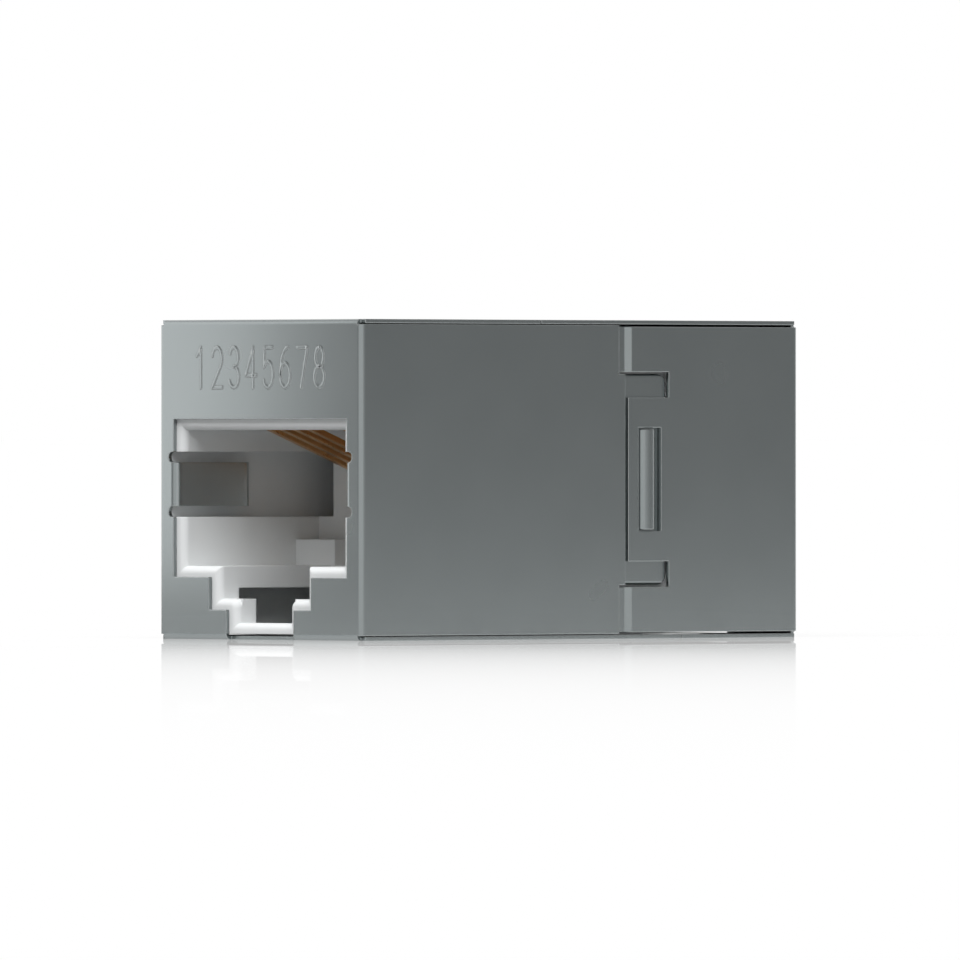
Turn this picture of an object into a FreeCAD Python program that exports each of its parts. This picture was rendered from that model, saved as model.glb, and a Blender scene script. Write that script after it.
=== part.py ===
import FreeCAD, Part
import math
import os
from collections import namedtuple

import Sketcher

# Shielded inline coupler: two eight-way network jacks back to back in a two-piece folded shield.
# X runs across the width, Y along the length with the front port facing -Y, and Z up.
# The origin is the middle of the underside. The rear half is the front half turned about Z.

# Driving sizes, in millimetres and degrees. A depth is counted back from a port's own face.
SIZES = {
    # The plug's space in a jack, and the flat rim round it that shows inside the shield's port
    "mouth_wide": 11.9,
    "mouth_tall": 6.85,
    "mouth_deep": 9.4,
    "step_wide": 6.55,
    "step_tall": 1.64,
    "latch_wide": 3.95,
    "latch_tall": 1.21,
    "rim": 0.55,
    "rim_round": 0.36,
    # The folded sheet
    "length": 30.0,
    "sheet": 0.2,
    "bend_inside": 0.08,
    "port_margin": 1.1,
    "head_room": 1.79,
    "seam": 0.05,
    "rear_slit": 0.12,
    "corner_gap": 0.06,
    "flap_gap": 0.08,
    "slip": 0.03,
    "top_seam": 12.2,
    "bottom_seam": 21.9,
    "latch_cut": 0.1,
    # The joint between the two shells, along each side, set out from the rear face
    "rear_wall": 12.43,
    "edge_step": 0.42,
    "joggle_long": 0.12,
    "panel_gap": 0.09,
    "flange_show": 0.56,
    "flange_long": 1.4,
    "slope_long": 0.31,
    "notch_low": 4.14,
    "notch_tall": 1.29,
    "notch_gap": 0.07,
    "slot_inset": 0.67,
    "slot_wide": 1.59,
    "slot_tall": 5.24,
    "rib_inset": 0.22,
    "rib_wide": 1.12,
    "rib_gap": 0.09,
    "rib_rise": 0.35,
    "tongue_tall": 10.66,
    "tongue_past": 0.47,
    "tongue_round": 0.5,
    # The ground fingers at the sides of a port
    "ground_low": 3.0,
    "ground_tall": 2.22,
    "ground_long": 4.0,
    "ground_inset": 0.19,
    "ground_bend": 0.15,
    "ground_lean": 6.0,
    "tip_bend": 0.3,
    "tip_turn": 70.0,
    "relief_wide": 0.53,
    "relief_deep": 0.38,
    "relief_round": 0.25,
    # The moulded jack housing
    "fit": 0.05,
    "lip_gap": 0.09,
    "lip_deep": 1.55,
    "lip_margin": 1.2,
    "lip_round": 0.45,
    "lip_round_deep": 0.4,
    "skirt_rise": 0.5,
    "shelf": 1.1,
    "chamber_wide": 10.0,
    "back_wall": 1.0,
    "front_wall": 1.0,
    "cheek": 0.85,
    "cheek_drop": 1.0,
    "cheek_gap": 0.2,
    "post_wide": 10.0,
    "foot_long": 3.0,
    "stop_gap": 6.0,
    "stop_tall": 1.31,
    "stop_deep": 1.6,
    "core_wide": 2.0,
    "tongue_room": 0.25,
    "ceiling": 0.55,
    "window_wide": 8.8,
    "window_start": 2.6,
    # The contacts, counted from 1 at the left of a port with its latch down
    "pitch": 1.016,
    "contact_wide": 0.36,
    "contact_thick": 0.28,
    "slope": 20.0,
    "run_rise": 1.2,
    "nose_bend": 0.55,
    "nose_deep": 4.03,
    "nose_set_back": 1.5,
    "contact_end": 0.5,
    "tail_inset": 0.9,
    "tail_row": 1.8,
    "tail_bend": 0.5,
    "tail_proud": 0.6,
    "comb_gap": 0.06,
    "comb_drop": 0.3,
    # The carrier over each mouth, and the board on the carriers
    "carrier_wide": 10.6,
    "carrier_start": 1.9,
    "carrier_long": 8.0,
    "carrier_tall": 2.2,
    "board_thick": 1.0,
    "board_gap": 0.1,
    "board_inset": 3.0,
    "hole_gap": 0.02,
}

CONTACTS = 8
SHEET_NAME = "Sizes"

Round = namedtuple("Round", "across up radius")
Centre = namedtuple("Centre", "across up turn")


class Size:
    """A length or an angle: its value now, and the expression that ties it to the sheet of sizes."""

    def __init__(self, value, text):
        self.value = value
        self.text = text

    def __add__(self, other):
        other = as_size(other)
        return Size(self.value + other.value, f"({self.text} + {other.text})")

    def __sub__(self, other):
        other = as_size(other)
        return Size(self.value - other.value, f"({self.text} - {other.text})")

    def __mul__(self, other):
        other = as_size(other)
        return Size(self.value * other.value, f"({self.text} * {other.text})")

    def __truediv__(self, other):
        other = as_size(other)
        return Size(self.value / other.value, f"({self.text} / {other.text})")

    def __neg__(self):
        return Size(-self.value, f"(0 - {self.text})")

    __radd__ = __add__
    __rmul__ = __mul__

    def __rsub__(self, other):
        return as_size(other) - self


def as_size(number):
    """A plain number as a size that depends on nothing."""
    return number if isinstance(number, Size) else Size(number, str(number))


def sine(angle):
    return Size(math.sin(math.radians(angle.value)), f"sin({angle.text} * 1 deg)")


def cosine(angle):
    return Size(math.cos(math.radians(angle.value)), f"cos({angle.text} * 1 deg)")


def tangent(angle):
    return Size(math.tan(math.radians(angle.value)), f"tan({angle.text} * 1 deg)")


def write_sheet(document):
    """The sheet of driving sizes, one named cell for each, and the sizes by name for the code."""
    sheet = document.addObject("Spreadsheet::Sheet", SHEET_NAME)
    for row, (name, number) in enumerate(SIZES.items(), start=1):
        cell = f"A{row}"
        sheet.set(cell, str(number))
        sheet.setAlias(cell, name)
    document.recompute()
    return {name: Size(number, f"{SHEET_NAME}.{name}") for name, number in SIZES.items()}


document = FreeCAD.newDocument("inline_coupler")
size = write_sheet(document)

# Heights above the underside, stacked from the sheet upwards
foot_low = size["sheet"] + size["fit"]
lip_low = size["sheet"] + size["lip_gap"]
latch_floor = lip_low + size["rim"]
step_floor = latch_floor + size["latch_tall"]
mouth_low = step_floor + size["step_tall"]
mouth_high = mouth_low + size["mouth_tall"]
shelf_low = mouth_low - size["shelf"]
housing_low = lip_low + size["skirt_rise"]
ceiling_top = mouth_high + size["ceiling"]
board_low = ceiling_top + size["carrier_tall"]
board_high = board_low + size["board_thick"]
height = board_high + size["head_room"]
middle = height / 2
housing_top = height - size["sheet"] - size["fit"]
cheek_top = housing_top - size["cheek_drop"]
ground_low = mouth_low + size["ground_low"]
ground_high = ground_low + size["ground_tall"]
channel_low = ground_low - size["relief_wide"]
channel_high = ground_high + size["relief_wide"]
run_height = mouth_high + size["run_rise"]

# Half widths from the middle plane
half_mouth = size["mouth_wide"] / 2
half_port = half_mouth + size["rim"]
half_width = half_port + size["port_margin"]
inner_half = half_width - size["sheet"]
under_half = inner_half - size["slip"]
housing_half = inner_half - size["fit"]
tray_half = housing_half - size["cheek"]
bend = size["bend_inside"] + size["sheet"]
flat_half = half_width - bend
channel_floor = half_port + size["relief_deep"]
ground_root = channel_floor - size["ground_inset"]
ground_outside = size["ground_bend"] + size["sheet"]

# Depths behind the front face
housing_front = size["sheet"] + size["slip"]
housing_back = size["mouth_deep"] + size["back_wall"]
cheek_end = (size["length"] - size["cheek_gap"]) / 2
carrier_end = size["carrier_start"] + size["carrier_long"]
wall_end = size["length"] - size["rear_wall"]
tongue_bend = wall_end + size["edge_step"]
tongue_flat = tongue_bend + size["joggle_long"]
panel_start = tongue_flat + size["panel_gap"]
flange_step = wall_end + size["flange_show"]
slope_end = flange_step + size["slope_long"]
slot_start = panel_start + size["slot_inset"]
slot_end = slot_start + size["slot_wide"]
tongue_end = slot_end + size["tongue_past"]
notch_end = tongue_end + size["notch_gap"]
rib_start = slot_start + size["rib_inset"]
rib_end = rib_start + size["rib_wide"]

# How far a cut runs past the material that it goes through, when two points are one, and how much of
# the sheet's thickness the stamped edge of a tongue is rounded by
PAST = 1.0
TINY = 1e-6
ROUND_SHARE = 0.9


def along(depth):
    """Y of a depth behind the front face."""
    return depth - size["length"] / 2


def from_rear(depth):
    """The depth behind the rear face of a place given by its depth behind the front face."""
    return size["length"] - depth


def heading(start, end):
    """Which way a square side runs, as a sign for each axis."""
    steps = (end[0].value - start[0].value, end[1].value - start[1].value)
    return tuple(0 if abs(step) < TINY else int(math.copysign(1, step)) for step in steps)


def stops_and_centres(corners):
    """The end points of an outline's lines and arcs, and the centre of the arc that leaves a point."""
    corners = [type(corner)(*map(as_size, corner)) if isinstance(corner, (Round, Centre))
               else tuple(map(as_size, corner)) for corner in corners]
    stops = []
    centres = {}
    for number, corner in enumerate(corners):
        if isinstance(corner, Centre):
            centres[len(stops) - 1] = (corner.across, corner.up, corner.turn.value)
        elif isinstance(corner, Round):
            into = heading(corners[number - 1], corner)
            out = heading(corner, corners[(number + 1) % len(corners)])
            start = [place - corner.radius * sign for place, sign in zip(corner[:2], into)]
            end = [place + corner.radius * sign for place, sign in zip(corner[:2], out)]
            middle_point = [place + corner.radius * sign for place, sign in zip(start, out)]
            turn = into[0] * out[1] - into[1] * out[0]
            if stops and (vector(stops[-1]) - vector(start)).Length < TINY:
                stops.pop()  # the round starts right at the corner before it
            centres[len(stops)] = (*middle_point, turn)
            stops += [start, end]
        elif not stops or (vector(stops[-1]) - vector(corner)).Length > TINY:
            stops.append(corner)
    return stops, centres


def vector(point):
    return FreeCAD.Vector(point[0].value, point[1].value, 0)


def arc(start, end, centre):
    """The arc from start to end about a centre, which turns left where turn is positive."""
    spokes = [vector(point) - vector(centre) for point in (start, end)]
    angles = [math.atan2(spoke.y, spoke.x) for spoke in spokes]
    circle = Part.Circle(vector(centre), FreeCAD.Vector(0, 0, 1), spokes[0].Length)
    if centre[2] < 0:
        angles.reverse()
    return Part.ArcOfCircle(circle, *angles)


def pins(geometry, point, place, axes="XY"):
    """The rules that tie a point of a sketch to its coordinates, with the expression of each."""
    return [(Sketcher.Constraint(f"Distance{axis}", -1, 1, geometry, point, coordinate.value),
             coordinate.text)
            for axis, coordinate in zip("XY", place) if axis in axes]


def tie(sketch, rules):
    """Adds rules to a sketch and binds each to its expression."""
    numbers = sketch.addConstraint([rule for rule, text in rules])
    for number, (rule, text) in zip(numbers, rules):
        sketch.setExpression(f"Constraints[{number}]", text)


def outline(sketch, corners, closed=True):
    """Draws lines and arcs through the corners and ties every one of their points."""
    stops, centres = stops_and_centres(corners)
    following = stops[1:] + stops[:1] if closed else stops[1:]
    shapes = []
    for number, (start, end) in enumerate(zip(stops, following)):
        if number in centres:
            shapes.append(arc(start, end, centres[number]))
        else:
            shapes.append(Part.LineSegment(vector(start), vector(end)))
    geometries = sketch.addGeometry(shapes, False)
    backwards = [number in centres and centres[number][2] < 0 for number in range(len(shapes))]
    ends = [(geometry, 2, 1) if back else (geometry, 1, 2)
            for geometry, back in zip(geometries, backwards)]
    sketch.addConstraint([
        Sketcher.Constraint("Coincident", before[0], before[2], after[0], after[1])
        for before, after in zip(ends, ends[1:] + ends[:1] if closed else ends[1:])])
    rules = []
    for number, (geometry, first, last) in enumerate(ends):
        rules += pins(geometry, first, stops[number])
        if number in centres:
            chord = vector(following[number]) - vector(stops[number])
            rules += pins(geometry, 3, centres[number], "X" if abs(chord.y) > abs(chord.x) else "Y")
    if not closed:
        rules += pins(ends[-1][0], ends[-1][2], stops[-1])
    tie(sketch, rules)


def disc(sketch, across, up, radius):
    """Draws a circle with its centre pinned and its radius tied."""
    shape = Part.Circle(vector((across, up)), FreeCAD.Vector(0, 0, 1), radius.value)
    geometry = sketch.addGeometry(shape, False)
    width_rule = Sketcher.Constraint("Radius", geometry, radius.value)
    tie(sketch, pins(geometry, 3, (across, up)) + [(width_rule, radius.text)])


def sketch_on(body, name, plane, offset):
    """An empty sketch on one of the body's own planes, moved along the plane's normal."""
    sketch = body.newObject("Sketcher::SketchObject", name)
    support = next(part for part in body.Origin.OriginFeatures if part.Role == plane)
    sketch.AttachmentSupport = [(support, "")]
    sketch.MapMode = "FlatFace"
    sketch.setExpression("AttachmentOffset.Base.z", offset.text)
    return sketch


def prism(body, kind, name, plane, low, high, *outlines):
    """Adds (Pad) or takes away (Pocket) the outlines drawn out between two places on one axis."""
    low, high = as_size(low), as_size(high)
    if plane == "XZ_Plane":  # this plane's normal points along -Y
        low, high = -high, -low
    sketch = sketch_on(body, f"{name}_outline", plane, low if kind == "Pad" else high)
    for corners in outlines:
        outline(sketch, corners)
    feature = body.newObject(f"PartDesign::{kind}", name)
    feature.Profile = sketch
    feature.setExpression("Length", (high - low).text)
    return feature


def add(body, name, plane, low, high, *outlines):
    return prism(body, "Pad", name, plane, low, high, *outlines)


def cut(body, name, plane, low, high, *outlines):
    return prism(body, "Pocket", name, plane, low, high, *outlines)


def rectangle(left, right, low, high):
    return [(left, low), (right, low), (right, high), (left, high)]


def both_sides(inner, outer, low, high):
    """The same rectangle at +X and at -X."""
    return rectangle(inner, outer, low, high), rectangle(-outer, -inner, low, high)


def mirrored(corners):
    """An outline's picture on the other side of the middle plane."""
    flipped = []
    for corner in corners:
        if isinstance(corner, Centre):
            flipped.append(Centre(-as_size(corner.across), corner.up, -corner.turn))
        elif isinstance(corner, Round):
            flipped.append(Round(-as_size(corner.across), corner.up, corner.radius))
        else:
            flipped.append((-as_size(corner[0]), corner[1]))
    return flipped


def new_body(label, turned):
    """An empty body, turned about Z to face the rear where it belongs to the rear half."""
    body = document.addObject("PartDesign::Body", label)
    body.Label = label
    half_turn = FreeCAD.Rotation(FreeCAD.Vector(0, 0, 1), 180 if turned else 0)
    body.Placement = FreeCAD.Placement(FreeCAD.Vector(0, 0, 0), half_turn)
    return body


def stepped_opening(margin, bottom):
    """The port's outline, wide for the plug with two steps down for its latch, grown by a margin."""
    widths = [size["mouth_wide"] / 2, size["step_wide"] / 2, size["latch_wide"] / 2]
    wide, step, latch = (half + margin for half in widths)
    right = [(latch, bottom), (latch, step_floor - margin), (step, step_floor - margin),
             (step, mouth_low - margin), (wide, mouth_low - margin), (wide, mouth_high + margin)]
    return right + mirrored(reversed(right))


def folded_walls(body, wall_deep, edge, top_deep, bottom_deep):
    """The end face with its four walls folded back: each bend is an arc of even thickness."""
    face = along(as_size(0))
    inside = face + size["sheet"]
    add(body, "end_face", "XZ_Plane", face, inside,
        rectangle(-flat_half, flat_half, bend, height - bend))
    wall = [(flat_half, face), Round(half_width, face, bend), (half_width, along(wall_deep)),
            (inner_half, along(wall_deep)), Round(inner_half, inside, size["bend_inside"]),
            (flat_half, inside)]
    wall_low = size["sheet"] + edge
    add(body, "side_walls", "XY_Plane", wall_low, height - wall_low, wall, mirrored(wall))
    bend_half = flat_half - size["corner_gap"]
    for name, deep, outer, inner, root in (
        ("top", top_deep, height, height - size["sheet"], height - bend),
        ("bottom", bottom_deep, as_size(0), size["sheet"], bend),
    ):
        fold = [(face, root), Round(face, outer, bend), (along(deep), outer), (along(deep), inner),
                Round(inside, inner, size["bend_inside"]), (inside, root)]
        add(body, f"{name}_fold", "YZ_Plane", -bend_half, bend_half, fold)
        low, high = sorted((outer, inner), key=lambda level: level.value)
        add(body, f"{name}_flap", "XY_Plane", low, high,
            rectangle(-half_width, half_width, face + bend, along(deep)))


def port_opening(body):
    """The stepped opening, cut on through the bottom bend, and the reliefs beside its fingers."""
    face = along(as_size(0))
    through = face + bend + size["latch_cut"]
    cut(body, "port", "XZ_Plane", face, through, stepped_opening(size["rim"], -PAST))
    inner = half_mouth
    for name, low in (("upper", ground_high), ("lower", channel_low)):
        high = low + size["relief_wide"]
        notch = [(inner, low), Round(channel_floor, low, size["relief_round"]),
                 Round(channel_floor, high, size["relief_round"]), (inner, high)]
        cut(body, f"{name}_relief", "XZ_Plane", face, face + size["sheet"], notch, mirrored(notch))
    cut(body, "finger_root", "XZ_Plane", face, face + size["sheet"],
        *both_sides(inner, ground_root, ground_low, ground_high))


def ground_fingers(body):
    """Two springs bent in from the port's sides, leaning towards the plug, with their tips curled back."""
    face = along(as_size(0))
    lean, turned = size["ground_lean"], size["ground_lean"] - size["tip_turn"]
    pivot = (ground_root, face + ground_outside)
    tip_outside = size["tip_bend"] + size["sheet"]

    def bend_end(radius):
        return (pivot[0] - radius * cosine(lean), pivot[1] - radius * sine(lean))

    def flat_end(radius):
        across, up = bend_end(radius)
        return (across - size["ground_long"] * sine(lean), up + size["ground_long"] * cosine(lean))

    across, up = flat_end(ground_outside)
    curl = (across + tip_outside * cosine(lean), up + tip_outside * sine(lean))

    def tip_end(radius):
        return (curl[0] - radius * cosine(turned), curl[1] - radius * sine(turned))

    finger = [(ground_root, face), Centre(*pivot, -1), bend_end(ground_outside),
              flat_end(ground_outside), Centre(*curl, -1), tip_end(tip_outside),
              tip_end(size["tip_bend"]), Centre(*curl, 1), flat_end(size["ground_bend"]),
              bend_end(size["ground_bend"]), Centre(*pivot, 1), (ground_root, face + size["sheet"])]
    add(body, "ground_fingers", "XY_Plane", ground_low, ground_high, finger, mirrored(finger))


def front_shield_shell():
    """The front shell: port face, walls, and on each side a joggled tongue with round edges and a rib."""
    body = new_body("front_shield_shell", turned=False)
    half_gap = size["flap_gap"] / 2
    folded_walls(body, wall_end, size["seam"], size["top_seam"] - half_gap,
                 size["bottom_seam"] - half_gap)
    port_opening(body)
    ground_fingers(body)
    start, end = along(wall_end), along(tongue_end)
    tongue_half = size["tongue_tall"] / 2
    tongue_inner = under_half - size["sheet"]
    low, high = middle - tongue_half, middle + tongue_half
    joggle = [(inner_half, start), (half_width, start), (half_width, along(tongue_bend)),
              (under_half, along(tongue_flat)), (tongue_inner, along(tongue_flat)),
              (inner_half, along(tongue_bend))]
    add(body, "joggles", "XY_Plane", low, high, joggle, mirrored(joggle))
    edge_round = size["sheet"] * ROUND_SHARE
    tongue = [(tongue_inner, low), Round(under_half, low, edge_round),
              Round(under_half, high, edge_round), (tongue_inner, high)]
    add(body, "tongues", "XZ_Plane", along(tongue_flat), end, tongue, mirrored(tongue))
    reach = size["tongue_round"]
    for name, tip, inward in (("upper", high, -1), ("lower", low, 1)):
        corner = [(end - reach, tip), Centre(end - reach, tip + reach * inward, inward),
                  (end, tip + reach * inward), (end, tip)]
        cut(body, f"{name}_tongue_round", "YZ_Plane", -half_width, half_width, corner)
    snap_ribs(body, tongue_inner)
    return body


def snap_ribs(body, tongue_inner):
    """A half-round rib lanced out of each tongue, an arc of even thickness between flat ends."""
    rib_half = size["slot_tall"] / 2 - size["rib_gap"]
    low, high = middle - rib_half, middle + rib_half
    cut(body, "rib_lances", "XY_Plane", low, high,
        *both_sides(tongue_inner - size["fit"], under_half + size["fit"],
                    along(rib_start), along(rib_end)))
    half_chord = (rib_end - rib_start) / 2
    rise = size["rib_rise"]
    radius = (half_chord * half_chord + rise * rise) / (2 * rise)
    crown_y = along((rib_start + rib_end) / 2)
    outer_centre = under_half + rise - radius
    inner_centre = tongue_inner + rise - radius
    rib = [(under_half, along(rib_start)), Centre(outer_centre, crown_y, 1),
           (under_half, along(rib_end)), (tongue_inner, along(rib_end)),
           Centre(inner_centre, crown_y, -1), (tongue_inner, along(rib_start))]
    add(body, "ribs", "XY_Plane", low, high, rib, mirrored(rib))


def rear_shield_shell():
    """The rear shell: port face, walls, and on each side two joggled flanges, notches and a snap slot."""
    body = new_body("rear_shield_shell", turned=True)
    half_gap = size["flap_gap"] / 2
    folded_walls(body, from_rear(slope_end), size["rear_slit"],
                 from_rear(size["top_seam"]) - half_gap, from_rear(size["bottom_seam"]) - half_gap)
    port_opening(body)
    ground_fingers(body)
    edge = along(from_rear(slope_end))
    panel_half = size["notch_low"]
    add(body, "panel_edges", "XY_Plane", middle - panel_half, middle + panel_half,
        *both_sides(inner_half, half_width, edge, along(from_rear(panel_start))))
    step = along(from_rear(flange_step))
    flange_edge = along(from_rear(wall_end - size["flange_long"]))
    flange_inner = under_half - size["sheet"]
    flange = [(inner_half, edge), (half_width, edge), (under_half, step), (under_half, flange_edge),
              (flange_inner, flange_edge), (flange_inner, step)]
    notch_high = panel_half + size["notch_tall"]
    wall_low = size["sheet"] + size["rear_slit"]
    for name, low, high in (("upper", middle + notch_high, height - wall_low),
                            ("lower", wall_low, middle - notch_high)):
        add(body, f"{name}_flanges", "XY_Plane", low, high, flange, mirrored(flange))
    start = along(from_rear(notch_end))
    cut(body, "tongue_notches", "YZ_Plane", -half_width, half_width,
        rectangle(start, edge + PAST, middle + panel_half, middle + notch_high),
        rectangle(start, edge + PAST, middle - notch_high, middle - panel_half))
    cut(body, "snap_slots", "YZ_Plane", -half_width, half_width,
        rectangle(along(from_rear(slot_end)), along(from_rear(slot_start)),
                  middle - size["slot_tall"] / 2, middle + size["slot_tall"] / 2))
    return body


slot_half = size["contact_wide"] / 2 + size["comb_gap"]


def contact_across(number):
    """X of a contact's middle, with contact 1 at -X."""
    return size["pitch"] * (number - (CONTACTS + 1) / 2)


def nose_depth(number):
    """The second half of the contacts leave the ceiling further back."""
    return size["nose_deep"] + (size["nose_set_back"] if number > CONTACTS / 2 else 0)


def tail_depth(number):
    """The tails stand in two rows, so that the board keeps a web between its holes."""
    return carrier_end - size["tail_inset"] - size["tail_row"] * (number % 2)


def nose_end(number):
    """Depth and height where the spring leaves the round of its nose."""
    bend_size = size["nose_bend"]
    return (nose_depth(number) - bend_size * sine(size["slope"]),
            run_height - bend_size - bend_size * cosine(size["slope"]))


def spring_end(number):
    """Depth and height of the spring's free end, in the comb of the back wall."""
    deep, up = nose_end(number)
    end = size["mouth_deep"] + size["contact_end"]
    return end, up - (end - deep) * tangent(size["slope"])


def jack_housing(label, turned):
    """The white moulding: the plug's mouth, the latch chamber under it and the tray over it."""
    body = new_body(label, turned)
    front, back = along(housing_front), along(housing_back)
    past_back = along(cheek_end) + PAST
    add(body, "block", "XZ_Plane", front, back,
        rectangle(-housing_half, housing_half, housing_low, cheek_top))
    lip_half = size["latch_wide"] / 2 + size["lip_margin"]
    lip_back = along(size["lip_deep"])
    add(body, "lip", "XZ_Plane", front, lip_back,
        rectangle(-lip_half, lip_half, lip_low, housing_low))
    add(body, "cheeks", "XZ_Plane", back, along(cheek_end),
        *both_sides(tray_half, housing_half, housing_low, cheek_top))
    cut(body, "latch_way", "XZ_Plane", front, lip_back, stepped_opening(as_size(0), latch_floor))
    round_size, latch_half = size["lip_round"], size["latch_wide"] / 2
    corner = [(latch_half, step_floor - round_size),
              Centre(latch_half + round_size, step_floor - round_size, -1),
              (latch_half + round_size, step_floor), (latch_half, step_floor)]
    cut(body, "lip_rounds", "XZ_Plane", front, front + size["lip_round_deep"], corner, mirrored(corner))
    rounded_way_in(body, front)
    mouth_back = along(size["mouth_deep"])
    cut(body, "mouth", "XZ_Plane", front, mouth_back,
        rectangle(-half_mouth, half_mouth, mouth_low, mouth_high))
    chamber_half = size["chamber_wide"] / 2
    cut(body, "latch_chamber", "XZ_Plane", lip_back, past_back,
        rectangle(-chamber_half, chamber_half, -PAST, shelf_low))
    stop_front = along(size["mouth_deep"] - size["stop_deep"])
    step_half = size["step_wide"] / 2
    cut(body, "latch_slot", "XZ_Plane", lip_back, stop_front,
        rectangle(-step_half, step_half, -PAST, mouth_low))
    wall_back = front + size["front_wall"]
    cut(body, "tray", "XZ_Plane", wall_back, past_back,
        rectangle(-tray_half, tray_half, ceiling_top, height))
    post_half = size["post_wide"] / 2
    add(body, "post", "XZ_Plane", front, wall_back,
        rectangle(-post_half, post_half, cheek_top, housing_top))
    add(body, "feet", "XZ_Plane", back, back + size["foot_long"],
        *both_sides(tray_half, housing_half, foot_low, housing_low))
    add(body, "plug_stops", "XZ_Plane", stop_front, mouth_back,
        *both_sides(size["stop_gap"] / 2, half_mouth, mouth_low, mouth_low + size["stop_tall"]))
    cut(body, "finger_channels", "XZ_Plane", front, past_back,
        *both_sides(channel_floor - size["core_wide"], channel_floor, channel_low, channel_high))
    window_half = size["window_wide"] / 2
    cut(body, "contact_window", "XY_Plane", mouth_high, ceiling_top,
        rectangle(-window_half, window_half, along(size["window_start"]), mouth_back))
    slot_low = spring_end(1)[1] - size["contact_thick"] - size["comb_drop"]
    columns = [contact_across(number) for number in range(1, CONTACTS + 1)]
    cut(body, "comb", "XZ_Plane", mouth_back, past_back,
        *[rectangle(across - slot_half, across + slot_half, slot_low, mouth_high)
          for across in columns])
    tongue_half = under_half - size["sheet"] - size["fit"]
    relief = along(from_rear(tongue_end) - size["tongue_room"])
    cut(body, "tongue_relief", "XZ_Plane", relief, past_back,
        *both_sides(tongue_half, half_width, -PAST, height))
    return body


def rounded_way_in(body, front):
    """Rounds the front edge of the mouth's rim, all along the stepped outline."""
    document.recompute()
    base = body.Tip
    edges = []
    for number, edge in enumerate(base.Shape.Edges, start=1):
        points = [vertex.Point for vertex in edge.Vertexes]
        in_front = all(abs(point.y - front.value) < TINY for point in points)
        inside = all(abs(point.x) < half_port.value and latch_floor.value - TINY < point.z
                     < mouth_high.value + TINY for point in points)
        if in_front and inside:
            edges.append(f"Edge{number}")
    rounding = body.newObject("PartDesign::Fillet", "way_in")
    rounding.Base = (base, edges)
    rounding.setExpression("Radius", size["rim_round"].text)


def contact(label, turned, number):
    """One formed strip: tail up through the board, run, nose, and the spring down into the comb."""
    body = new_body(label, turned)
    deep, tail = along(nose_depth(number)), along(tail_depth(number))
    tail_top = board_high + size["tail_proud"]
    bend_end = nose_end(number)
    end = spring_end(number)
    path = sketch_on(body, "path", "YZ_Plane", contact_across(number))
    outline(path, [
        (tail, tail_top), Round(tail, run_height, size["tail_bend"]), (deep, run_height),
        Centre(deep, run_height - size["nose_bend"], 1),
        (along(bend_end[0]), bend_end[1]), (along(end[0]), end[1]),
    ], closed=False)
    section = sketch_on(body, "section", "XY_Plane", tail_top)
    across = contact_across(number)
    half_wide = size["contact_wide"] / 2
    half_thick = size["contact_thick"] / 2
    outline(section, rectangle(across - half_wide, across + half_wide,
                               tail - half_thick, tail + half_thick))
    strip = body.newObject("PartDesign::AdditivePipe", "strip")
    strip.Profile = section
    strip.Spine = path
    return body


def contact_carrier(label, turned):
    """The block that holds the contacts' bends, slotted from below, with a hole for each tail."""
    body = new_body(label, turned)
    half = size["carrier_wide"] / 2
    add(body, "block", "XY_Plane", ceiling_top, board_low,
        rectangle(-half, half, along(size["carrier_start"]), along(carrier_end)))
    slot_top = run_height + slot_half
    numbers = range(1, CONTACTS + 1)
    slots = []
    holes = []
    for number in numbers:
        left, right = contact_across(number) - slot_half, contact_across(number) + slot_half
        nose = along(nose_depth(number)) - size["nose_bend"] - slot_half
        tail = along(tail_depth(number))
        slots.append(rectangle(left, right, nose, tail + slot_half))
        holes.append(rectangle(left, right, tail - slot_half - size["tail_bend"], tail + slot_half))
    cut(body, "run_slots", "XY_Plane", ceiling_top, slot_top, *slots)
    cut(body, "tail_holes", "XY_Plane", slot_top, board_low, *holes)
    return body


def circuit_board():
    """The board on the two carriers, with a hole for each of the sixteen tails."""
    body = new_body("circuit_board", turned=False)
    half = tray_half - size["board_gap"]
    end = along(from_rear(size["board_inset"]))
    add(body, "plate", "XY_Plane", board_low, board_high, rectangle(-half, half, -end, end))
    sketch = sketch_on(body, "tail_holes_outline", "XY_Plane", board_high)
    hole = (size["contact_wide"] + size["contact_thick"]) / 2 + size["hole_gap"]
    for number in range(1, CONTACTS + 1):
        across, up = contact_across(number), along(tail_depth(number))
        for sign in (1, -1):
            disc(sketch, across * sign, up * sign, hole)
    holes = body.newObject("PartDesign::Pocket", "tail_holes")
    holes.Profile = sketch
    holes.setExpression("Length", size["board_thick"].text)
    return body


def check(bodies):
    """Stops if a feature failed, if a cut took nothing away or a pad added nothing."""
    for part in document.Objects:
        if "Invalid" in part.State or "Error" in part.State:
            raise RuntimeError(f"{part.Name} failed: {part.State}")
    for body in bodies:
        if body.Shape.isNull() or not body.Shape.isValid() or len(body.Shape.Solids) != 1:
            raise RuntimeError(f"{body.Label} is not one valid solid")
        volume = 0.0
        for feature in body.Group:
            if feature.isDerivedFrom("PartDesign::Feature"):
                change = feature.Shape.Volume - volume
                takes = feature.TypeId in ("PartDesign::Pocket", "PartDesign::Fillet")
                if change * (-1 if takes else 1) <= 0:
                    raise RuntimeError(f"{body.Label}: {feature.Name} changed the volume by {change}")
                volume = feature.Shape.Volume


bodies = [front_shield_shell(), rear_shield_shell(), circuit_board()]
for place, is_turned in (("front", False), ("rear", True)):
    bodies.append(jack_housing(f"{place}_jack_housing", is_turned))
    bodies.append(contact_carrier(f"{place}_contact_carrier", is_turned))
    for contact_number in range(1, CONTACTS + 1):
        bodies.append(contact(f"{place}_contact_{contact_number}", is_turned, contact_number))

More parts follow.
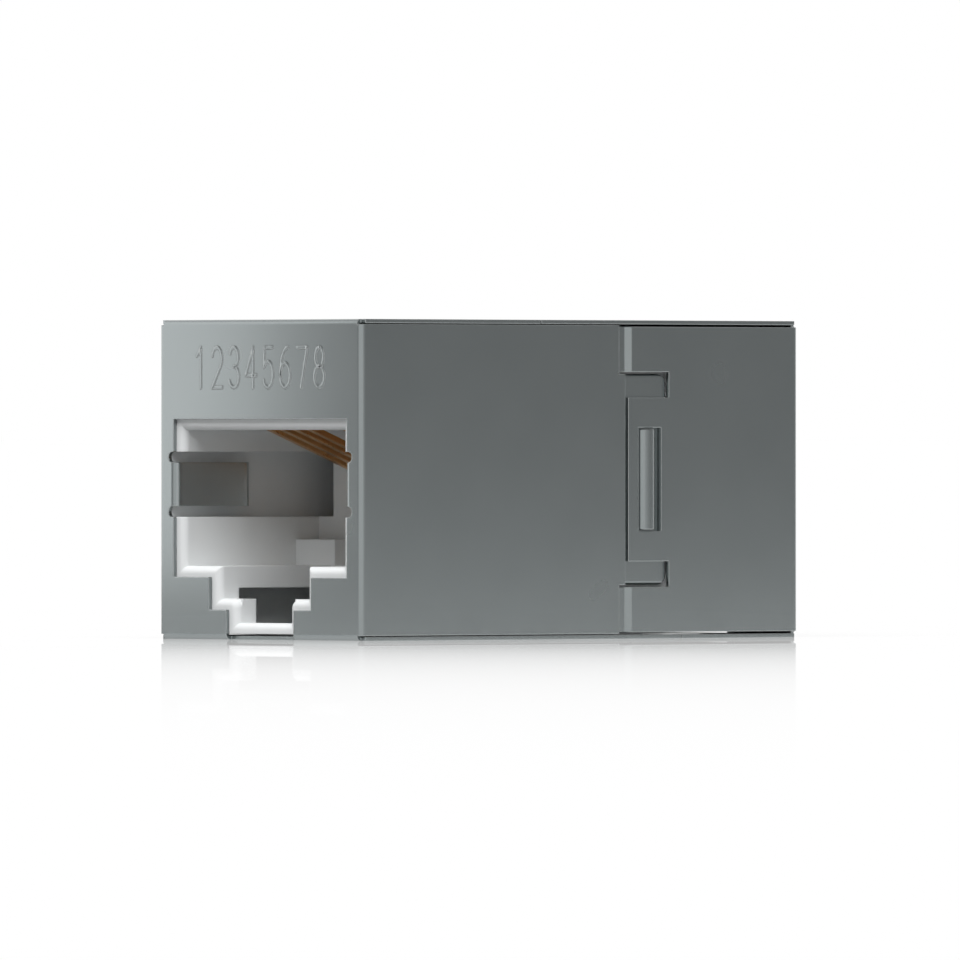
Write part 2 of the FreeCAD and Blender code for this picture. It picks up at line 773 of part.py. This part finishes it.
document.recompute()
check(bodies)
os.makedirs("parts", exist_ok=True)
for body in bodies:
    body.Shape.exportStep(os.path.join("parts", f"{body.Label}.step"))
    box = body.Shape.BoundBox
    print(f"{body.Label}: {box.XLength:.2f} x {box.YLength:.2f} x {box.ZLength:.2f} mm")
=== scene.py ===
# %% [markdown]
# # A shielded inline network coupler
# The coupler is a small box of folded, dark nickel-plated sheet with a white moulded jack in each end.
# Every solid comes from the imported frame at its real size, so this lesson only adds what they lack:
# finishes, pin numbers, a partition, a floor, light and a camera. All lengths are in metres, with +X across
# the width, +Y from the front port to the rear port and +Z up.

import math

import bpy
import numpy as np
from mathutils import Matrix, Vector


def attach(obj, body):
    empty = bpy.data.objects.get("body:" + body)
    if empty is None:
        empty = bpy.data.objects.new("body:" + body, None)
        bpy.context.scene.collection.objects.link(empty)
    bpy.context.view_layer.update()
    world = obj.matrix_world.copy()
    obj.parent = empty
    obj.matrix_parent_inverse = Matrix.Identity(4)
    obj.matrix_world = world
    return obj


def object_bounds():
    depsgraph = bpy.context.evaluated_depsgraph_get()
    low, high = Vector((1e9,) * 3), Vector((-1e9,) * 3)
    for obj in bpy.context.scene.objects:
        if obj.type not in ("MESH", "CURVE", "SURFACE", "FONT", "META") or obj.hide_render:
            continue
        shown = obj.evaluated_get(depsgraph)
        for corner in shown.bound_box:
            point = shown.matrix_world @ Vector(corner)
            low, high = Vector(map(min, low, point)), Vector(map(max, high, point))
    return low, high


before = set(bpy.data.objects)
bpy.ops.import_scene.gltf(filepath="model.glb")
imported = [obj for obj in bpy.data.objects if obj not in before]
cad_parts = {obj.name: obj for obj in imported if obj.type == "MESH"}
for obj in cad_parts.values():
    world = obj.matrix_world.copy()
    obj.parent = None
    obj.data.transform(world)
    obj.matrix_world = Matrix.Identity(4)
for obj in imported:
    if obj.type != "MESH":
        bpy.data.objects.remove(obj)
cad_low, cad_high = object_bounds()
MM = 0.001
centre = (cad_low + cad_high) / 2
extent = cad_high - cad_low
print("nodes:", len(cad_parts), "box in mm:", [round(side / MM, 2) for side in extent])

# %% [markdown]
# ## The camera
# The picture was taken from far away with a long lens, almost level with the box, so upright edges stay
# parallel and the front and one side share the view. A camera on a circle about the middle of the box,
# aimed a hair below it, is all that takes: the lens follows from how many pixels a millimetre covers.

# %% Place the camera
AZIMUTH = math.radians(47.5)
ELEVATION = math.radians(0.12)
DISTANCE = 1.05
AIM_DROP = 0.033 * MM
FRAME_PIXELS = 960
PIXELS_PER_MM = 19.735
SENSOR = 36.0

towards_camera = Vector((math.sin(AZIMUTH) * math.cos(ELEVATION),
                         -math.cos(AZIMUTH) * math.cos(ELEVATION),
                         math.sin(ELEVATION)))
camera_data = bpy.data.cameras.new("camera")
camera_data.sensor_width = SENSOR
camera_data.lens = SENSOR * PIXELS_PER_MM / MM * DISTANCE / FRAME_PIXELS
camera = bpy.data.objects.new("camera", camera_data)
camera.location = centre - Vector((0, 0, AIM_DROP)) + towards_camera * DISTANCE
camera.rotation_euler = (-towards_camera).to_track_quat("-Z", "Y").to_euler()
bpy.context.scene.collection.objects.link(camera)
bpy.context.scene.camera = camera
print("lens in mm:", round(camera_data.lens, 1))

# %% [markdown]
# ## Node maths that reads like Python
# A finish is a graph of nodes. Wiring each one by hand hides the idea behind it, so one small class wraps
# a node's output: adding or multiplying two of them adds the Math node that does it, and one method makes
# any other node from its type, its settings and the values or links of its sockets.

# %% Define the shader class
class Shade:
    """One output of a shader graph, or the empty start of one."""

    def __init__(self, tree, socket=None):
        self.tree = tree
        self.socket = socket

    def node(self, kind, settings=None, values=None, output=0):
        """Any node: its settings are set first, then each socket gets its value or its link."""
        made = self.tree.nodes.new(kind)
        for name, setting in (settings or {}).items():
            setattr(made, name, setting)
        for name, value in (values or {}).items():
            if isinstance(value, Shade):
                self.tree.links.new(value.socket, made.inputs[name])
            else:
                made.inputs[name].default_value = value
        return Shade(self.tree, made.outputs[output] if made.outputs else None)

    def math(self, operation, first, second=0.0):
        return self.node("ShaderNodeMath", {"operation": operation}, {0: first, 1: second})

    def __add__(self, other):
        return self.math("ADD", self, other)

    def __mul__(self, other):
        return self.math("MULTIPLY", self, other)

    def __rsub__(self, other):
        return self.math("SUBTRACT", other, self)

    __radd__ = __add__
    __rmul__ = __mul__


def new_finish(name):
    """An empty material and the start of its graph."""
    material = bpy.data.materials.new(name)
    material.use_nodes = True
    material.node_tree.nodes.clear()
    return material, Shade(material.node_tree)


def blend(graph, share, first, last):
    """A colour between two: each is a graph's output or three numbers, and share 0 gives the first."""
    first, last = [colour if isinstance(colour, Shade) else (*colour, 1) for colour in (first, last)]
    return graph.node("ShaderNodeMix", {"data_type": "RGBA"}, {"Factor": share, 6: first, 7: last}, 2)


def surface(graph, shader):
    graph.node("ShaderNodeOutputMaterial", {}, {"Surface": shader})


print("shader class ready")

# %% [markdown]
# ## The shield's metal
# The sheet is plated dark nickel: grey with a breath of green-blue, satin rather than shiny and very even.
# Broad, faint clouds of noise in its colour and its roughness keep it from looking painted, and finer grain
# would show more than on the real sheet. Cut edges are bare and rounded. Their colour is lighter, partly for
# the bare cut metal and partly as a painted highlight for the thin light line they catch.
# They come from a bevelled normal: where it leaves the flat normal, an edge is near. A region in object
# coordinates picks out the ground fingers bent into each mouth and gives them a much lighter metal: painted
# light, standing in for the light that reaches them inside the mouth.

# %% Make the metal
METAL_DARK = (0.272, 0.298, 0.300)
METAL_LIGHT = (0.292, 0.318, 0.320)
# Lighter edge colour: partly bare cut metal, partly a painted highlight.
METAL_EDGE_BARE_AND_HIGHLIGHT = (0.44, 0.46, 0.46)
# Painted light: the ground fingers' lighter metal stands in for light reaching them in the mouth.
METAL_FINGER_PAINTED_LIGHT = (0.66, 0.69, 0.69)
METAL_CLOUDS = 260.0
METAL_ROUGH, METAL_ROUGH_CHANGE = 0.262, 0.016
EDGE_RADIUS = 0.08 * MM
EDGE_STARTS, EDGE_FULL = 0.02, 0.25
BEVEL_SAMPLES = 6
FINGER_SIDE = 6.9 * MM
FINGER_LOW, FINGER_HIGH = 4.0 * MM, 12.0 * MM
FINGER_ROOT, FINGER_FLAT = 14.9 * MM, 14.5 * MM


def finger_painted_light_share(graph, place):
    """0 on the box and 1 on the ground fingers, from the bend at each mouth's face inwards: where painted
    light lightens the metal.
    """
    axes = graph.node("ShaderNodeSeparateXYZ", {}, {"Vector": place}).socket.node.outputs
    across, along, up = [Shade(graph.tree, axis) for axis in axes]
    between = (graph.math("LESS_THAN", graph.math("ABSOLUTE", across), FINGER_SIDE)
               * graph.math("GREATER_THAN", up, FINGER_LOW) * graph.math("LESS_THAN", up, FINGER_HIGH))
    inwards = graph.node("ShaderNodeMapRange", {}, {
        "Value": graph.math("ABSOLUTE", along), "From Min": FINGER_ROOT, "From Max": FINGER_FLAT})
    return between * inwards


def shield_metal():
    material, graph = new_finish("shield_metal")
    place = graph.node("ShaderNodeTexCoord", output="Object")
    clouds = graph.node("ShaderNodeTexNoise", {}, {"Vector": place, "Scale": METAL_CLOUDS, "Detail": 1.0})
    rounded = graph.node("ShaderNodeBevel", {"samples": BEVEL_SAMPLES}, {"Radius": EDGE_RADIUS})
    flat = graph.node("ShaderNodeNewGeometry", output="Normal")
    agreement = graph.node("ShaderNodeVectorMath", {"operation": "DOT_PRODUCT"}, {0: rounded, 1: flat},
                           "Value")
    # Where the edge colour goes, from the bevelled normal: partly bare metal, partly a painted highlight.
    edge_bare_and_highlight_share = graph.node("ShaderNodeMapRange", {}, {
        "Value": 1 - agreement, "From Min": EDGE_STARTS, "From Max": EDGE_FULL})
    sheet = blend(graph, clouds, METAL_DARK, METAL_LIGHT)
    # Painted light: the ground fingers get the lighter metal in place of the light they would catch in the
    # mouth.
    sheet = blend(graph, finger_painted_light_share(graph, place), sheet, METAL_FINGER_PAINTED_LIGHT)
    shader = graph.node("ShaderNodeBsdfPrincipled", {}, {
        "Base Color": blend(graph, edge_bare_and_highlight_share, sheet, METAL_EDGE_BARE_AND_HIGHLIGHT), "Metallic": 1.0,
        "Roughness": METAL_ROUGH + clouds * METAL_ROUGH_CHANGE, "Normal": rounded})
    surface(graph, shader)
    return material


metal = shield_metal()
print("finish:", metal.name)

# %% [markdown]
# ## Plastics, contacts and board
# The jack is a white moulding with a fine, even mould texture. The carriers are the same resin, a little
# yellower. The contacts are gold-plated strip with drawing marks, and the board is green solder mask.

# %% Make the plastics
JACK_WHITE = (0.828, 0.845, 0.850)
JACK_SHADE = (0.768, 0.785, 0.790)
CARRIER_WHITE = (0.76, 0.75, 0.70)
CARRIER_SHADE = (0.68, 0.67, 0.62)
PLASTIC_CLOUDS, MOULD_TEXTURE = 300.0, 9000.0
PLASTIC_ROUGH, PLASTIC_ROUGH_CHANGE = 0.42, 0.12
MOULD_STRENGTH, MOULD_HEIGHT = 0.08, 0.01 * MM


def moulded_plastic(name, light, dark):
    material, graph = new_finish(name)
    place = graph.node("ShaderNodeTexCoord", output="Object")
    clouds = graph.node("ShaderNodeTexNoise", {}, {"Vector": place, "Scale": PLASTIC_CLOUDS, "Detail": 2.0})
    texture = graph.node("ShaderNodeTexNoise", {}, {"Vector": place, "Scale": MOULD_TEXTURE, "Detail": 2.0})
    rounded = graph.node("ShaderNodeBevel", {"samples": BEVEL_SAMPLES}, {"Radius": EDGE_RADIUS})
    bumped = graph.node("ShaderNodeBump", {}, {
        "Height": texture, "Normal": rounded, "Strength": MOULD_STRENGTH, "Distance": MOULD_HEIGHT})
    shader = graph.node("ShaderNodeBsdfPrincipled", {}, {
        "Base Color": blend(graph, clouds, light, dark),
        "Roughness": PLASTIC_ROUGH + texture * PLASTIC_ROUGH_CHANGE, "Normal": bumped})
    surface(graph, shader)
    return material


plastic = moulded_plastic("jack_plastic", JACK_WHITE, JACK_SHADE)
carrier_plastic = moulded_plastic("carrier_plastic", CARRIER_WHITE, CARRIER_SHADE)
print("finishes:", plastic.name, carrier_plastic.name)

# %% Make the contact gold
GOLD = (0.95, 0.62, 0.32)
GOLD_DULL = (0.74, 0.40, 0.15)
DRAWN_MARKS, DRAWN_STRETCH = 900.0, (30.0, 1.0, 1.0)
GOLD_ROUGH, GOLD_ROUGH_CHANGE = 0.22, 0.14


def contact_gold():
    material, graph = new_finish("contact_gold")
    place = graph.node("ShaderNodeTexCoord", output="Object")
    across = graph.node("ShaderNodeMapping", {}, {"Vector": place, "Scale": DRAWN_STRETCH})
    drawn = graph.node("ShaderNodeTexNoise", {}, {"Vector": across, "Scale": DRAWN_MARKS, "Detail": 3.0})
    rounded = graph.node("ShaderNodeBevel", {"samples": BEVEL_SAMPLES}, {"Radius": EDGE_RADIUS})
    shader = graph.node("ShaderNodeBsdfPrincipled", {}, {
        "Base Color": blend(graph, drawn, GOLD, GOLD_DULL), "Metallic": 1.0,
        "Roughness": GOLD_ROUGH + drawn * GOLD_ROUGH_CHANGE, "Normal": rounded})
    surface(graph, shader)
    return material


gold = contact_gold()
print("finish:", gold.name)

# %% Make the board's laminate
MASK_GREEN = (0.012, 0.085, 0.035)
MASK_LIGHT = (0.02, 0.14, 0.06)
GLASS_WEAVE = 2500.0
MASK_ROUGH, MASK_ROUGH_CHANGE = 0.25, 0.1


def board_laminate():
    material, graph = new_finish("board_laminate")
    place = graph.node("ShaderNodeTexCoord", output="Object")
    weave = graph.node("ShaderNodeTexNoise", {}, {"Vector": place, "Scale": GLASS_WEAVE, "Detail": 2.0})
    shader = graph.node("ShaderNodeBsdfPrincipled", {}, {
        "Base Color": blend(graph, weave, MASK_GREEN, MASK_LIGHT),
        "Roughness": MASK_ROUGH + weave * MASK_ROUGH_CHANGE})
    surface(graph, shader)
    return material


laminate = board_laminate()
print("finish:", laminate.name)

# %% Dress the solids
FINISHES = {"shield_shell": metal, "jack_housing": plastic, "contact_carrier": carrier_plastic,
            "circuit_board": laminate}


def finish_of(node):
    """The finish whose name ends the node's, or gold for the numbered contacts."""
    return next((finish for ending, finish in FINISHES.items() if node.endswith(ending)), gold)


for node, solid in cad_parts.items():
    solid.data.materials.clear()
    solid.data.materials.append(finish_of(node))
print("dressed:", {finish.name for finish in map(finish_of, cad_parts)})

# %% [markdown]
# ## Pin numbers
# The plain metal above the front port carries the contacts' numbers, 1 to 8, as low raised strokes of the
# shield's own sheet. A text object would bring a font's flat outlines, so each numeral is a few strokes,
# straight or part of an ellipse, and an oval section is carried along every stroke and rounded off at both
# ends. All strokes have as many points, so one array holds them and whole-array sums make the mesh.

# %% Draw the strokes
STROKE_POINTS = 32


def line(start, end):
    """A straight stroke: a point is start + t * (end - start), with t from 0 to 1."""
    t = np.linspace(0, 1, STROKE_POINTS)[:, None]
    return np.array(start) + t * (np.array(end) - np.array(start))


def bow(middle, radii, first, last):
    """Part of an ellipse: a point is middle + (cosine, sine) of a turning angle times the two radii."""
    angle = np.radians(np.linspace(first, last, STROKE_POINTS))
    return np.array(middle) + np.stack([np.cos(angle), np.sin(angle)], axis=-1) * np.array(radii)


NUMERALS = (
    (line((-0.28, 0.80), (0.06, 1.00)), line((0.06, 1.00), (0.06, 0.00))),
    (bow((0.00, 0.72), (0.42, 0.28), 165, -38), line((0.33, 0.55), (-0.42, 0.00)),
     line((-0.42, 0.00), (0.44, 0.00))),
    (bow((0.00, 0.76), (0.36, 0.24), 155, -90), bow((0.00, 0.26), (0.42, 0.26), 90, -155)),
    (line((0.18, 1.00), (-0.46, 0.30)), line((-0.46, 0.30), (0.46, 0.30)), line((0.18, 1.00), (0.18, 0.00))),
    (line((0.38, 1.00), (-0.30, 1.00)), line((-0.30, 1.00), (-0.35, 0.53)),
     bow((0.00, 0.32), (0.43, 0.32), 145, -150)),
    (bow((0.00, 0.30), (0.42, 0.30), 180, -180), bow((0.24, 0.30), (0.66, 0.70), 180, 90)),
    (line((-0.42, 1.00), (0.42, 1.00)), line((0.42, 1.00), (-0.10, 0.00))),
    (bow((0.00, 0.76), (0.35, 0.24), 90, 450), bow((0.00, 0.26), (0.43, 0.26), 90, -270)),
)
print("strokes in the numerals:", [len(strokes) for strokes in NUMERALS])

# %% Raise the strokes
NUMERAL_TALL = 2.0 * MM
NUMERAL_WIDE = 0.86 * MM
NUMERAL_STEP = 1.28 * MM
NUMERAL_FOOT = 12.68 * MM
STROKE_HALF = 0.115 * MM
STROKE_RISE = 0.012 * MM
SECTION_POINTS = 14
END_RINGS = 5


def raised_strokes(paths):
    """Oval tubes: a point is path + half width * cos(turn) aside + rise * sin(turn) outwards, and past each
    end the section shrinks by the cosine of a quarter turn while it moves on by the sine."""
    onward = np.gradient(paths, axis=1)
    onward /= np.linalg.norm(onward, axis=-1, keepdims=True)
    quarter = np.linspace(0, np.pi / 2, END_RINGS, endpoint=False)[1:]
    shrink = np.concatenate([np.cos(quarter)[::-1], np.ones(STROKE_POINTS), np.cos(quarter)])
    move = np.concatenate([-np.sin(quarter)[::-1], np.zeros(STROKE_POINTS), np.sin(quarter)]) * STROKE_HALF
    nearest = np.clip(np.arange(len(shrink)) - len(quarter), 0, STROKE_POINTS - 1)
    onward = onward[:, nearest]
    middles = paths[:, nearest] + onward * move[:, None]
    turn = np.linspace(0, 2 * np.pi, SECTION_POINTS, endpoint=False)
    aside = (shrink[:, None] * np.cos(turn))[None] * STROKE_HALF
    across = middles[..., None, 0] - onward[..., None, 1] * aside
    up = middles[..., None, 1] + onward[..., None, 0] * aside
    out = np.broadcast_to(cad_low.y - shrink[:, None] * np.sin(turn) * STROKE_RISE, across.shape)
    tips = paths[:, [0, -1]] + onward[:, [0, -1]] * np.array([[-STROKE_HALF], [STROKE_HALF]])
    poles = np.stack([tips[..., 0], np.full(tips.shape[:2], cad_low.y), tips[..., 1]], axis=-1)
    rings = np.stack([across, out, up], axis=-1).reshape(len(paths), -1, 3)
    return np.concatenate([rings, poles], axis=1), len(shrink)


def ring_faces(rings, around, copies):
    """Squares between neighbouring rings, and a fan of triangles from each pole to its end ring."""
    index = np.arange(rings * around).reshape(rings, around)
    following = np.roll(index, -1, axis=1)
    squares = np.stack([index[:-1], following[:-1], following[1:], index[1:]], axis=-1).reshape(-1, 4)
    pole = np.full(around, rings * around)
    fans = np.concatenate([np.stack([pole, following[0], index[0]], axis=-1),
                           np.stack([pole + 1, index[-1], following[-1]], axis=-1)])
    starts = np.arange(copies)[:, None, None] * (rings * around + 2)
    return (squares + starts).reshape(-1, 4).tolist() + (fans + starts).reshape(-1, 3).tolist()


def add_piece(name, points, faces, finish):
    """Makes a smooth piece at the origin that rides on the coupler."""
    mesh = bpy.data.meshes.new(name)
    mesh.from_pydata(points.reshape(-1, 3), [], faces)
    mesh.polygons.foreach_set("use_smooth", np.ones(len(mesh.polygons), dtype=bool))
    mesh.materials.append(finish)
    piece = bpy.data.objects.new(name, mesh)
    bpy.context.scene.collection.objects.link(piece)
    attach(piece, "root")
    print(name, len(mesh.polygons), "faces")


middle_number = (len(NUMERALS) - 1) / 2
paths = np.concatenate([
    np.array(strokes) * (NUMERAL_WIDE, NUMERAL_TALL) + ((number - middle_number) * NUMERAL_STEP, NUMERAL_FOOT)
    for number, strokes in enumerate(NUMERALS)])
points, rings = raised_strokes(paths)
add_piece("pin_numbers", points, ring_faces(rings, SECTION_POINTS, len(paths)), metal)

# %% [markdown]
# ## The partition
# No picture shows what stands between the two jacks, so this piece is a guess: a thin moulded partition
# that keeps one port from being seen through the other. It stands in the narrow gap where the two housings'
# cheeks meet, under the board. A cube would have razor edges, so it is a very square superellipsoid: its
# faces are flat, and one formula rounds its rim and corners too.

# %% Stand the partition
PARTITION_HALF_WIDE = 7.0 * MM
PARTITION_HALF_THICK = 0.06 * MM
PARTITION_LOW, PARTITION_HIGH = 0.35 * MM, 13.15 * MM
PARTITION_POWER = 0.08
PARTITION_RINGS, PARTITION_AROUND = 13, 64


def square_plate(half_wide, half_thick, low, high):
    """A superellipsoid: with c and s the cosine and sine of an angle, each raised to a small power with its
    sign kept, a point is half width * c(rise) * s(turn) across, half thickness * s(rise) along, and half
    height * c(rise) * c(turn) up from the middle. Its two poles are the middles of the faces."""
    rise = np.linspace(-np.pi / 2, np.pi / 2, PARTITION_RINGS + 2)[1:-1, None]
    turn = np.linspace(0, 2 * np.pi, PARTITION_AROUND, endpoint=False)[None] + np.pi / PARTITION_AROUND
    c_rise, s_rise, c_turn, s_turn = [np.sign(wave) * np.abs(wave) ** PARTITION_POWER for wave in (
        np.cos(rise), np.sin(rise), np.cos(turn), np.sin(turn))]
    middle, half_tall = (low + high) / 2, (high - low) / 2
    along = np.broadcast_to(half_thick * s_rise, (PARTITION_RINGS, PARTITION_AROUND))
    grid = np.stack([half_wide * c_rise * s_turn, along, middle + half_tall * c_rise * c_turn], axis=-1)
    poles = np.array([(0, -half_thick, middle), (0, half_thick, middle)])
    return np.concatenate([grid.reshape(-1, 3), poles])


plate = square_plate(PARTITION_HALF_WIDE, PARTITION_HALF_THICK, PARTITION_LOW, PARTITION_HIGH)
add_piece("partition", plate, ring_faces(PARTITION_RINGS, PARTITION_AROUND, 1), carrier_plastic)

# %% [markdown]
# ## The floor
# The coupler stands on a glossy white sheet. Seen this low, the sheet mirrors it, and the mirror image
# fades within a few millimetres of height. A mirror layer by Fresnel, which thins out with distance from
# the box, gives that from a low camera and nearly vanishes from above. It is perfectly sharp, so that the
# studio's cards can tell its rays from the metal's. Under it is a plain sheet that takes the shadow, lifted
# to white for the camera and for reflections only, so it adds no light.

# %% Lay the floor
FLOOR_REACH = 40.0
FADE = 0.070
MIRROR = 0.80
FLOOR_PALE = 0.25
FLOOR_LIFT = 0.70
GLOSS_IOR = 1.45


def seen_rays(graph):
    """1 for rays that see the background: from the camera, in reflections and through glass."""
    path = graph.node("ShaderNodeLightPath")
    rays = path.socket.node.outputs
    kinds = [Shade(graph.tree, rays[name])
             for name in ("Is Camera Ray", "Is Glossy Ray", "Is Transmission Ray")]
    return graph.math("MINIMUM", kinds[0] + kinds[1] + kinds[2], 1.0)


def floor_white():
    material, graph = new_finish("floor_white")
    place = graph.node("ShaderNodeTexCoord", output="Object")
    beyond = graph.node("ShaderNodeVectorMath", {"operation": "ABSOLUTE"}, {0: place})
    beyond = graph.node("ShaderNodeVectorMath", {"operation": "SUBTRACT"}, {0: beyond, 1: tuple(extent / 2)})
    beyond = graph.node("ShaderNodeVectorMath", {"operation": "MAXIMUM"}, {0: beyond, 1: (0.0, 0.0, 0.0)})
    away = graph.node("ShaderNodeVectorMath", {"operation": "LENGTH"}, {0: beyond}, "Value")
    fade = graph.math("EXPONENT", away * (-1 / FADE))
    gloss = graph.node("ShaderNodeFresnel", {}, {"IOR": GLOSS_IOR})
    plain = graph.node("ShaderNodeBsdfDiffuse", {}, {"Color": (FLOOR_PALE,) * 3 + (1,)})
    lift = graph.node("ShaderNodeEmission", {}, {"Strength": seen_rays(graph) * FLOOR_LIFT})
    white = graph.node("ShaderNodeAddShader", {}, {0: plain, 1: lift})
    mirror = graph.node("ShaderNodeBsdfGlossy", {}, {"Color": (1, 1, 1, 1), "Roughness": 0.0})
    surface(graph, graph.node("ShaderNodeMixShader", {}, {"Fac": gloss * fade * MIRROR, 1: white, 2: mirror}))
    return material


def stage_sheet(name, corner, along, up, material):
    """A flat sheet of the studio: a point is corner + s * along + t * up, with s and t 0 or 1."""
    s, t = np.array([0, 1, 1, 0])[:, None], np.array([0, 0, 1, 1])[:, None]
    mesh = bpy.data.meshes.new(name)
    mesh.from_pydata(np.array(corner) + s * np.array(along) + t * np.array(up), [], [(0, 1, 2, 3)])
    mesh.materials.append(material)
    made = bpy.data.objects.new(name, mesh)
    bpy.context.scene.collection.objects.link(made)
    return made


stage_sheet("floor", (-FLOOR_REACH, -FLOOR_REACH, 0), (2 * FLOOR_REACH, 0, 0), (0, 2 * FLOOR_REACH, 0),
            floor_white())
print("floor reach in m:", FLOOR_REACH)

# %% [markdown]
# ## Light
# The world is white to the camera and to reflections, and a low even level to everything else. One broad
# soft sun, high in front and a little to the right, lights the plastics and throws the shadow. Metal has no
# colour of its own until it mirrors something, so, as in a real studio, cards stand round the coupler just
# for reflections: two behind set the level of the long side, one overhead darkens edges that face up, and a
# bright one beside a grey one, with a dim strip under it, gives the front its fall from left to right. A
# card may glow less at one upright edge than at the other, because a hard end would show in the sheet.
# To the floor's sharp mirror rays every card is clear, so the floor shows the coupler and no studio.

# %% Light the studio
WORLD_LEVEL = 0.18
SUN_LEVEL = 3.75
SUN_SPREAD = math.radians(60.0)
SUN_FROM = Vector((0.30, -0.42, 0.86))

world = bpy.data.worlds.new("studio")
world.use_nodes = True
world.node_tree.nodes.clear()
sky = Shade(world.node_tree)
background = sky.node("ShaderNodeBackground", {}, {
    "Color": (1, 1, 1, 1), "Strength": seen_rays(sky) * (1 - WORLD_LEVEL) + WORLD_LEVEL})
sky.node("ShaderNodeOutputWorld", {}, {"Surface": background})
bpy.context.scene.world = world

sun_data = bpy.data.lights.new("soft_sun", "SUN")
sun_data.energy = SUN_LEVEL
sun_data.angle = SUN_SPREAD
sun = bpy.data.objects.new("soft_sun", sun_data)
sun.location = centre + SUN_FROM
sun.rotation_euler = SUN_FROM.to_track_quat("Z", "Y").to_euler()
sun.visible_glossy = False
bpy.context.scene.collection.objects.link(sun)
print("sun level:", SUN_LEVEL, "world level:", WORLD_LEVEL)

# %% Stand the cards
UP = Vector((0, 0, 1))
MIRRORED_SIGHT = Vector((math.sin(AZIMUTH), math.cos(AZIMUTH), 0.0))
ASIDE = MIRRORED_SIGHT.cross(UP)
BACK_DISTANCE = 0.080
FRONT_DISTANCE = 0.036
BACK_FOOT = Vector((cad_high.x, 0, 0)) + MIRRORED_SIGHT * BACK_DISTANCE
FRONT_FOOT = Vector((0, cad_low.y, 0)) - MIRRORED_SIGHT * FRONT_DISTANCE
# Each card: its foot, its two ends aside of the foot, its low and high edge, and the glow at each end.
CARDS = {
    "back_card": (BACK_FOOT, (-0.050, 0.015), (0.0, 0.070), (0.41, 0.355)),
    "side_card": (BACK_FOOT, (0.015, 0.150), (0.0, 0.070), (0.38, 0.78)),
    "bright_card": (FRONT_FOOT, (-0.045, 0.001), (0.0023, 0.050), (1.55, 1.55)),
    "low_card": (FRONT_FOOT, (-0.045, 0.001), (0.0, 0.0023), (0.28, 0.28)),
    "grey_card": (FRONT_FOOT, (0.001, 0.032), (0.0, 0.050), (0.25, 0.76)),
}


def card_finish(name, start, end, levels):
    """A glow that changes evenly from one upright edge of the card, start along ASIDE, to the other, and
    that is clear to sharp mirrors."""
    material, graph = new_finish(name)
    place = graph.node("ShaderNodeTexCoord", output="Object")
    along = graph.node("ShaderNodeVectorMath", {"operation": "DOT_PRODUCT"}, {0: place, 1: ASIDE}, "Value")
    share = graph.node("ShaderNodeMapRange", {}, {"Value": along, "From Min": start, "From Max": end})
    first, last = [graph.node("ShaderNodeEmission", {}, {"Color": (1, 1, 1, 1), "Strength": level})
                   for level in levels]
    glow = graph.node("ShaderNodeMixShader", {}, {"Fac": share, 1: first, 2: last})
    sharp = graph.node("ShaderNodeLightPath", output="Is Singular Ray")
    clear = graph.node("ShaderNodeBsdfTransparent")
    surface(graph, graph.node("ShaderNodeMixShader", {}, {"Fac": sharp, 1: glow, 2: clear}))
    return material


def only_for_reflections(card):
    card.visible_camera = False
    card.visible_diffuse = False
    card.visible_shadow = False


for name, (foot, (left, right), (low, high), levels) in CARDS.items():
    middle = foot.dot(ASIDE)
    finish = card_finish(name, middle + left, middle + right, levels)
    only_for_reflections(stage_sheet(name, foot + ASIDE * left + UP * low, ASIDE * (right - left),
                                     UP * (high - low), finish))
OVERHEAD = 0.12
OVERHEAD_HALF = 0.10
OVERHEAD_GLOW = 0.35
only_for_reflections(stage_sheet(
    "overhead_card", (-OVERHEAD_HALF, -OVERHEAD_HALF, OVERHEAD), (2 * OVERHEAD_HALF, 0, 0),
    (0, 2 * OVERHEAD_HALF, 0),
    card_finish("overhead_card", -OVERHEAD_HALF, OVERHEAD_HALF, (OVERHEAD_GLOW,) * 2)))
print("cards:", [*CARDS, "overhead_card"])

# %% Set the view transform
bpy.context.scene.view_settings.view_transform = "Standard"
